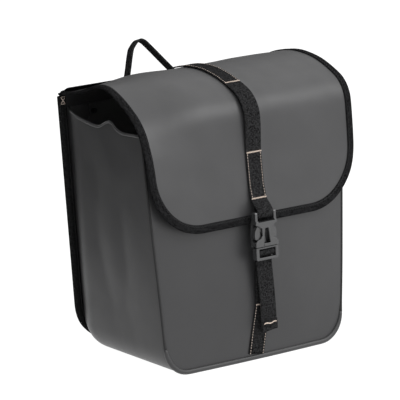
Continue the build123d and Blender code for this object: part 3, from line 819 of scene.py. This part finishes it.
def make_flap():
    rows, uvs = [], []
    steps, down, turns = 48, 44, 16
    straight = FLAP_LENGTH - FLAP_CORNER
    levels = [straight * i / down for i in range(down)]
    levels += [straight + FLAP_CORNER * math.sin(math.pi / 2 * i / turns) for i in range(turns + 1)]
    for s in levels:
        past = max(0.0, s - straight)
        half = FLAP_HALF - FLAP_CORNER + math.sqrt(max(FLAP_CORNER ** 2 - past ** 2, 0.0))
        xs = spread(half, steps)
        rows.append([flap_place(x, s) for x in xs])
        uvs.append([(x * MM, s * MM) for x in xs])
    piece = finish_piece(sheet_piece("flap_cloth", rows, uvs), CLOTH)
    fold(piece)
    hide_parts("flap_top", "flap_front")

    inner = FLAP_TAPE_WIDTH - TAPE
    under = -SKIN - TAPE
    section = [(inner, -0.1), (inner - 0.3, TAPE * 0.85), (4.5, TAPE), (0.4, TAPE - 0.1),
               (-TAPE + 0.2, 0.0), (-TAPE + 0.2, -SKIN), (0.4, under + 0.1), (4.5, under),
               (inner - 0.3, under), (inner, -SKIN)]
    edges = [flap_edge(inset, 4.0) for inset, _ in section]
    outs = [out for _, out in section]
    rows, uvs = [], []
    girth = girth_of(section)
    outline = [flap_place(x, s) for x, s in edges[4]]
    for i, run in enumerate(lengths(outline)):
        rows.append([flap_place(*edges[k][i], outs[k]) for k in range(len(section))])
        uvs.append([(g * MM, run) for g in girth])
    tape = finish_piece(swept_piece("flap_tape", rows, uvs), TAPE_FINISH)
    fold(tape)
    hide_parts("flap_binding_top", "flap_binding_front")

    zigzag = zip(flap_edge(6.6, 2.1), flap_edge(8.9, 2.1))
    points = [flap_place(*pair[1 - i % 2], TAPE + 0.15) for i, pair in enumerate(zigzag)]
    line = thread_tube("flap_tape_thread", points, 0.33)
    fold(line)


def fold(piece):
    """Bakes a piece's placement into its mesh."""
    before = flap_profile(TOP_LENGTH - 16.0)
    after = flap_profile(TOP_LENGTH + 22.0)
    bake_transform(piece)


def make_flap_seam():
    """The strip that joins the flap to the top of the back."""
    profile = [(-1.3, 313.0), (-1.4, 322.0), (-1.0, 327.0), (1.2, 329.6)]
    for s in (4.0, 9.0, 14.0):
        u, z, angle = flap_profile(s)
        profile.append((u + 1.2 * math.cos(angle), z + 1.2 * math.sin(angle)))
    line = resample([Vector((0, u, z)) for u, z in profile], 2.0)
    xs = spread(FLAP_HALF - 5.0, 40)
    rows, uvs = [], []
    for p, run in zip(line, lengths(line)):
        rows.append([place(x, p.y, p.z) for x in xs])
        uvs.append([(run * MM, x * MM) for x in xs])
    piece = sheet_piece("flap_seam_tape", rows, uvs, thickness=TAPE)
    finish_piece(piece, TAPE_FINISH)
    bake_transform(piece)


# ---- stitching ----
def thread_tube(name, points, radius):
    rows, uvs = [], []
    sides = 5
    up = Vector((0.31, 0.77, 0.55)).normalized()
    for point, tangent, run in zip(points, tangents(points), lengths(points)):
        side = tangent.cross(up).normalized()
        rows.append(ring(point, side, side.cross(tangent), radius * MM, sides))
        uvs.append([(k * 0.0004, run) for k in range(sides)])
    piece = swept_piece(name, rows, uvs)
    return finish_piece(piece, DARK_THREAD)


def stitches(name, runs, radius=0.36):
    """Separate stitches, each a small bead of thread between two points."""
    points, faces = [], []
    sides = 6
    shape = [(0.0, 0.25), (0.18, 0.85), (0.5, 1.0), (0.82, 0.85), (1.0, 0.25)]
    for start, end, normal in runs:
        along = end - start
        side = along.cross(normal).normalized()
        over = normal.normalized()
        first = len(points)
        for t, width in shape:
            points += ring(start + along * t, side, over, radius * width * MM, sides)
        faces += grid_faces(len(shape), sides, closed=True, start=first)
        faces.append(tuple(first + k for k in range(sides)))
        faces.append(tuple(first + (len(shape) - 1) * sides + k for k in reversed(range(sides))))
    piece = add_piece(name, points, faces)
    return finish_piece(piece, PALE_THREAD)


STITCH, STITCH_GAP = 2.0, 1.5
TACK_WIDTH, TACK_HEIGHT, TACK_STITCHES = 23.0, 1.9, 26


def stitch_line(points, normals):
    """Start, end and normal of each stitch along a line given in metres."""
    along = lengths(points)
    runs = []
    place_at = 0.0
    while place_at + STITCH * MM < along[-1]:
        ends = []
        for target in (place_at, place_at + STITCH * MM):
            k = max(i for i, value in enumerate(along) if value <= target + 1e-9)
            k = min(k, len(points) - 2)
            share = (target - along[k]) / max(along[k + 1] - along[k], 1e-9)
            ends.append(points[k].lerp(points[k + 1], share))
        k = min(k, len(normals) - 1)
        runs.append((ends[0], ends[1], normals[k]))
        place_at += (STITCH + STITCH_GAP) * MM
    return runs


def bar_tack(middle, across, along, normal):
    """A dense bar of side by side stitches across a strap."""
    runs = []
    for i in range(TACK_STITCHES):
        offset = (i / (TACK_STITCHES - 1) - 0.5) * TACK_WIDTH
        wobble = 0.35 * math.sin(i * 2.4)
        centre = middle + across * (offset * MM) + along * (wobble * MM)
        lean = across * (0.35 * MM) * (1 if i % 2 else -1)
        reach = along * (TACK_HEIGHT / 2 * MM)
        runs.append((centre - reach - lean, centre + reach + lean, normal))
    return runs


# ---- webbing ----
# across in half widths and over in thicknesses, with thicker selvages; ten points face outwards
WEB_SECTION = [(-1.0, 0.0), (-0.985, 0.32), (-0.93, 0.5), (-0.6, 0.46), (-0.2, 0.48), (0.2, 0.48),
               (0.6, 0.46), (0.93, 0.5), (0.985, 0.32), (1.0, 0.0), (0.985, -0.32), (0.93, -0.5),
               (0.6, -0.46), (0.2, -0.48), (-0.2, -0.48), (-0.6, -0.46), (-0.93, -0.5),
               (-0.985, -0.32)]


WEB_FACE = 10


def ribbon(name, centre, normals, half=WEB_HALF, thickness=WEB):
    """A strap along a line of points in millimetres (x, u, z), with its outward normals."""
    rows, uvs = [], []
    for p, tangent, normal, run in zip(centre, tangents(centre), normals, lengths(centre)):
        side = tangent.cross(normal).normalized()
        over = side.cross(tangent).normalized()
        if over.dot(normal) < 0:
            over = -over
        if side.x < -0.1 or (abs(side.x) <= 0.1 and side.y < 0):  # the same edge all along
            side = -side
        rows.append([place(*(p + side * (a * half) + over * (b * thickness)))
                     for a, b in WEB_SECTION])
        uvs.append([((a * half if k < WEB_FACE else -a * half + 2 * half) * MM, run * MM)
                    for k, (a, b) in enumerate(WEB_SECTION)])
    piece = swept_piece(name, rows, uvs)
    return finish_piece(piece, WEBBING)


def profile_normals(points):
    """The outward normals of a line in the u-z plane that runs over the flap and down the front."""
    return [Vector((0, -t.z, t.y)) for t in tangents(points)]


STRAP_START = 42.0  # how far along the flap the strap begins
TACK_TOP = 145.0
TACK_UPPER = TOP_LENGTH + FOLD_LENGTH + 43.0
TACK_LOWER = TACK_UPPER + 58.0
STRAP_PULL = 2.4  # how far the buckle pulls the strap forwards
STRAP_LOOSE = 3.0  # how far it stands off between its top tack and the upper front one


def strap_on_flap(s, out):
    """A point over the middle of the flap, which the buckle pulls forwards at its lower end."""
    return flap_at(0.0, s, out + STRAP_PULL * smooth((s - TACK_LOWER + 22.0) / 26.0))


def make_flap_strap():
    points = []
    s = STRAP_START
    while s < TACK_LOWER + 3.0:
        loose = 0.0
        if TACK_TOP < s < TACK_UPPER:
            share = (s - TACK_TOP) / (TACK_UPPER - TACK_TOP)
            loose = STRAP_LOOSE * math.sin(math.pi * share) ** 1.2
        points.append(strap_on_flap(s, WEB / 2 + 0.5 + loose))
        s += 4.0
    ring = BAR_R + 0.1 + WEB / 2
    points.append(Vector((0, BAR_U + ring + 0.1, BAR_Z + 7.0)))
    for k in range(7):
        angle = -math.pi * k / 6
        points.append(Vector((0, BAR_U + ring * math.cos(angle), BAR_Z + ring * math.sin(angle))))
    points.append(Vector((0, BAR_U - ring, BAR_Z + 6.0)))
    points.append(Vector((0, BAR_U - ring - 0.4, BAR_Z + 13.0)))
    line = resample(points, 2.2)
    piece = ribbon("flap_strap", line, profile_normals(line))
    fold(piece)
    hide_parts("strap_flap_top", "strap_flap_front")

    def edge_stitches(s0, s1):
        """A row of stitches along each edge of the strap."""
        steps = 24
        spots = [strap_on_flap(s0 + (s1 - s0) * i / steps, WEB + 0.55) for i in range(steps + 1)]
        normals = [Vector((0, -n.y, n.z)) for n in profile_normals(spots)]
        runs = []
        for x in (2.0 - WEB_HALF, WEB_HALF - 2.0):
            runs += stitch_line([place(x, p.y, p.z) for p in spots], normals)
        return runs

    def tack(s):
        p = strap_on_flap(s, WEB + 0.85)
        angle = flap_profile(s)[2]
        normal = Vector((0, -math.cos(angle), math.sin(angle)))
        along = Vector((0, -math.sin(angle), -math.cos(angle)))
        return bar_tack(place(*p), Vector((1, 0, 0)), along, normal)

    top = edge_stitches(STRAP_START + 6, TACK_TOP - 1)
    piece = stitches("strap_top_stitches", top + tack(TACK_TOP))
    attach(piece, "flap_top")
    front = edge_stitches(TACK_UPPER + 2, TACK_LOWER - 1)
    piece = stitches("strap_front_stitches", front + tack(TACK_UPPER) + tack(TACK_LOWER))
    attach(piece, "flap_front")


def leaning(u, z):
    """A point of the upright buckle, tipped about the strap's bar, its lower end forwards."""
    du, dz = u - BAR_U, z - BAR_Z
    sin, cos = math.sin(BUCKLE_LEAN), math.cos(BUCKLE_LEAN)
    return BAR_U + du * cos - dz * sin, BAR_Z + dz * cos + du * sin


ANCHOR_LOW = Vector((-3.0, 0, 0.2))
ANCHOR_HIGH = Vector((4.6, 0, ANCHOR_TOP))


def make_lower_strap():
    spots = []
    for i in range(15):
        p = ANCHOR_LOW.lerp(ANCHOR_HIGH, i / 14)
        spots.append(Vector((p.x, front_point(p.x, p.z).y + WEB / 2, p.z)))
    u, z = leaning(BAR_U - 5.0, 131.0)
    upper = [(4.2, 198.4, 74.0), (2.6, 201.0, 98.0), (0.6, u - 0.4, z - 6.0), (0.0, u, z)]
    line = resample(spots + [Vector(p) for p in upper], 3.0)
    piece = ribbon("lower_strap", line, profile_normals(line))
    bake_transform(piece)
    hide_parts("strap_anchor", "strap_lower_free")

    slope = (ANCHOR_HIGH - ANCHOR_LOW).normalized()
    across = Vector((slope.z, 0, -slope.x))
    runs = []
    for offset in (-WEB_HALF + 2.0, WEB_HALF - 2.0):
        points = [place(p.x + across.x * offset, p.y + WEB / 2 + 0.15, p.z + across.z * offset)
                  for p in spots]
        runs += stitch_line(points, [FORWARDS] * len(points))
    top = spots[-1] + Vector((0, WEB / 2 + 0.2, -1.5))
    runs += bar_tack(place(*top), across, slope, FORWARDS)
    piece = stitches("anchor_stitches", runs)
    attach(piece, "bag")


def make_bar_wrap():
    """The webbing round the lower half's adjuster bar, and its way down to the tail."""
    path = [(-4.2, 137.4), (0.6, 138.2), (2.2, 137.0), (2.5, 134.6), (2.1, 132.6), (0.4, 131.6),
            (-3.6, 131.8), (-4.3, 129.6), (-4.2, 126.2)]
    points = [Vector((0, *leaning(BAR_U + u, z))) for u, z in path]
    line = resample(points, 1.0)
    normals = [-n for n in profile_normals(line)]
    piece = ribbon("bar_wrap", line, normals)
    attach(piece, "buckle_male")
    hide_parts("strap_bar_wrap")


def make_tail():
    low, high = corner("strap_tail", 0), corner("strap_tail", 1)
    u = BACK_Y - high[1] + WEB / 2
    points = [(0.0, u, high[2]), (0.6, u + 0.2, high[2] - 8), (1.5, u + 1.0, high[2] - 20),
              (4.0, u + 1.3, 84.0), (7.0, u + 0.9, 58.0), (9.4, u, 36.0),
              (9.9, u - 0.1, low[2] + 0.6)]
    line = resample([Vector(p) for p in points], 2.2)
    piece = ribbon("tail_strap", line, profile_normals(line))
    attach(piece, "tail")
    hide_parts("strap_tail")

    lifted = [Vector((p.x, p.y + WEB * 0.95, p.z)) for p in line if p.z < low[2] + 15.0]
    turned = ribbon("tail_turn", lifted, profile_normals(lifted), half=WEB_HALF - 0.2)
    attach(turned, "tail")
    runs = []
    for i in range(17):  # a rough tack by hand, not quite level
        a = i / 16
        spot = lifted[1] + Vector((-9.5 + 19.0 * a, WEB / 2 + 0.25, 0.8 * a - 1.2))
        wave = 0.7 * math.sin(a * 9.0)
        ends = [spot + Vector((dx, 0, wave + dz)) for dx, dz in ((-0.5, -0.9), (0.5, 0.9))]
        runs.append((place(*ends[0]), place(*ends[1]), FORWARDS))
    tack = stitches("tail_tack", runs, radius=0.45)
    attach(tack, "tail")


def make_handle():
    """A loop of webbing folded at its top, leaning back over the two keepers."""
    line = [(-HANDLE_X, -3.0), (-46.4, 1.4), (-35.4, 26.0), (-24.4, 50.2), (-19.4, 55.6),
            (-13.4, 60.2), (-8.8, 61.8), (-4.4, 60.8), (0.4, 57.2), (23.6, 29.3), (46.4, 1.4),
            (HANDLE_X, -3.0)]
    sin, cos = math.sin(HANDLE_LEAN), math.cos(HANDLE_LEAN)
    points = [Vector((x, -HANDLE_V - h * sin, HANDLE_Z + h * cos)) for x, h in line]
    path = resample(points, 2.0)
    width = Vector((0, cos, sin))
    piece = ribbon("handle_loop", path, [width.cross(t) for t in tangents(path)], half=5.8,
                   thickness=2.7)
    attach(piece, "handle")
    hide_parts("handle_strap")


# ---- CAD nodes that keep their shape ----
def paint_nodes():
    finishes = {
        BOARD: ("back_board", "bottom_board", "rail_backing_plate"),
        HOOK: ("hook_left", "hook_right", "latch_left", "latch_right", "rail_cap_left",
               "rail_cap_right", "handle_keeper_left", "handle_keeper_right", "lower_hook",
               "lower_rail"),
        ALUMINIUM: ("hook_rail",),
        STEEL: ("latch_pins", "latch_springs", "lower_hook_bolt", "lower_hook_nut"),
        BLACK_STEEL: ("rail_screws", "rail_nuts", "lower_rail_screws", "lower_rail_washers"),
        BUCKLE: ("buckle_female", "buckle_male", "prong_left", "prong_right"),
    }
    for material, nodes in finishes.items():
        for name in nodes:
            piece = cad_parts[name]
            for slot in piece.material_slots:
                slot.material = material
            if not piece.material_slots:
                piece.data.materials.append(material)


# ---- light, floor and camera ----
def add_light(name, place_at, target, size, power, height=None):
    light = bpy.data.lights.new(name, "AREA")
    light.shape = "RECTANGLE"
    light.size = size
    light.size_y = height or size
    light.energy = power
    piece = bpy.data.objects.new(name, light)
    piece.location = place_at
    piece.rotation_euler = (Vector(target) - piece.location).to_track_quat("-Z", "Y").to_euler()
    bpy.context.scene.collection.objects.link(piece)


def fade(node, start, end, low, high):
    """Sets a map range that goes smoothly from low at start to high at end."""
    for socket, value in zip(("From Min", "From Max", "To Min", "To Max"), (start, end, low, high)):
        node.inputs[socket].default_value = value


def make_studio():
    world = bpy.data.worlds.new("studio")
    world.use_nodes = True
    tree = world.node_tree
    sky = tree.nodes["Background"]
    sky.inputs["Color"].default_value = (1, 1, 1, 1)
    facing = tree.nodes.new("ShaderNodeVectorMath")  # brighter above, in front and to the right
    facing.operation = "DOT_PRODUCT"
    facing.inputs[1].default_value = Vector((0.45, -0.55, 0.70)).normalized()
    tree.links.new(tree.nodes.new("ShaderNodeTexCoord").outputs["Generated"], facing.inputs[0])
    bright = tree.nodes.new("ShaderNodeMapRange")
    bright.interpolation_type = "SMOOTHSTEP"
    fade(bright, -0.30, 0.90, 0.04, 1.75)
    tree.links.new(facing.outputs["Value"], bright.inputs["Value"])
    tree.links.new(bright.outputs[0], sky.inputs["Strength"])
    bpy.context.scene.world = world

    # a floor lit from below, which fades out to the left of the bag and behind it
    reach = 6.0
    floor = add_piece("floor", [(-reach, -reach, 0), (reach, -reach, 0), (reach, reach, 0),
                                (-reach, reach, 0)], [(0, 1, 2, 3)])
    made = Finish("lit floor", (0.1, 0.1, 0.1), 0.9, Specular_IOR_Level=0.1)
    made.shader.inputs["Emission Color"].default_value = (1, 1, 1, 1)
    side = made.node("ShaderNodeVectorMath", operation="DOT_PRODUCT")
    side.inputs[1].default_value = (0.774, -0.633, 0.0)
    made.link(made.place(), side.inputs[0])
    glow = made.node("ShaderNodeMapRange", interpolation_type="SMOOTHSTEP")
    fade(glow, -0.66, -0.42, 0.02, 1.0)
    made.link(side.outputs["Value"], glow.inputs["Value"])
    made.link(glow.outputs[0], made.shader.inputs["Emission Strength"])
    floor.data.materials.append(made.material)

    add_light("key", (0.9, -1.1, 1.35), (0, 0, 0.25), 0.8, 8)
    add_light("rim", (-0.75, 1.9, 0.5), (-0.1, 0.0, 0.2), 0.35, 5, 0.9)
    add_light("glint", (-0.5, -1.5, 1.7), (0, 0, 0.25), 0.22, 3.5)


def make_camera():
    azimuth, elevation, distance = math.radians(-39.3), math.radians(13.7), 4.779
    looking = Vector((-math.sin(azimuth) * math.cos(elevation),
                      math.cos(azimuth) * math.cos(elevation), -math.sin(elevation)))
    target = Vector((0.003, 0.00775, 0.1842))
    lens = bpy.data.cameras.new("camera")
    lens.sensor_fit = "HORIZONTAL"
    lens.sensor_width = 36.0
    lens.lens = 336.4
    lens.clip_end = 50.0
    camera = bpy.data.objects.new("camera", lens)
    camera.location = target - looking * distance
    camera.rotation_euler = looking.to_track_quat("-Z", "Y").to_euler()
    scene = bpy.context.scene
    scene.collection.objects.link(camera)
    scene.camera = camera
    scene.view_settings.view_transform = "Standard"


make_camera()
make_back()
make_shell()
make_front()
make_hem()
make_flap()
make_flap_seam()
make_flap_strap()
make_lower_strap()
make_bar_wrap()
make_tail()
make_handle()
paint_nodes()
make_studio()
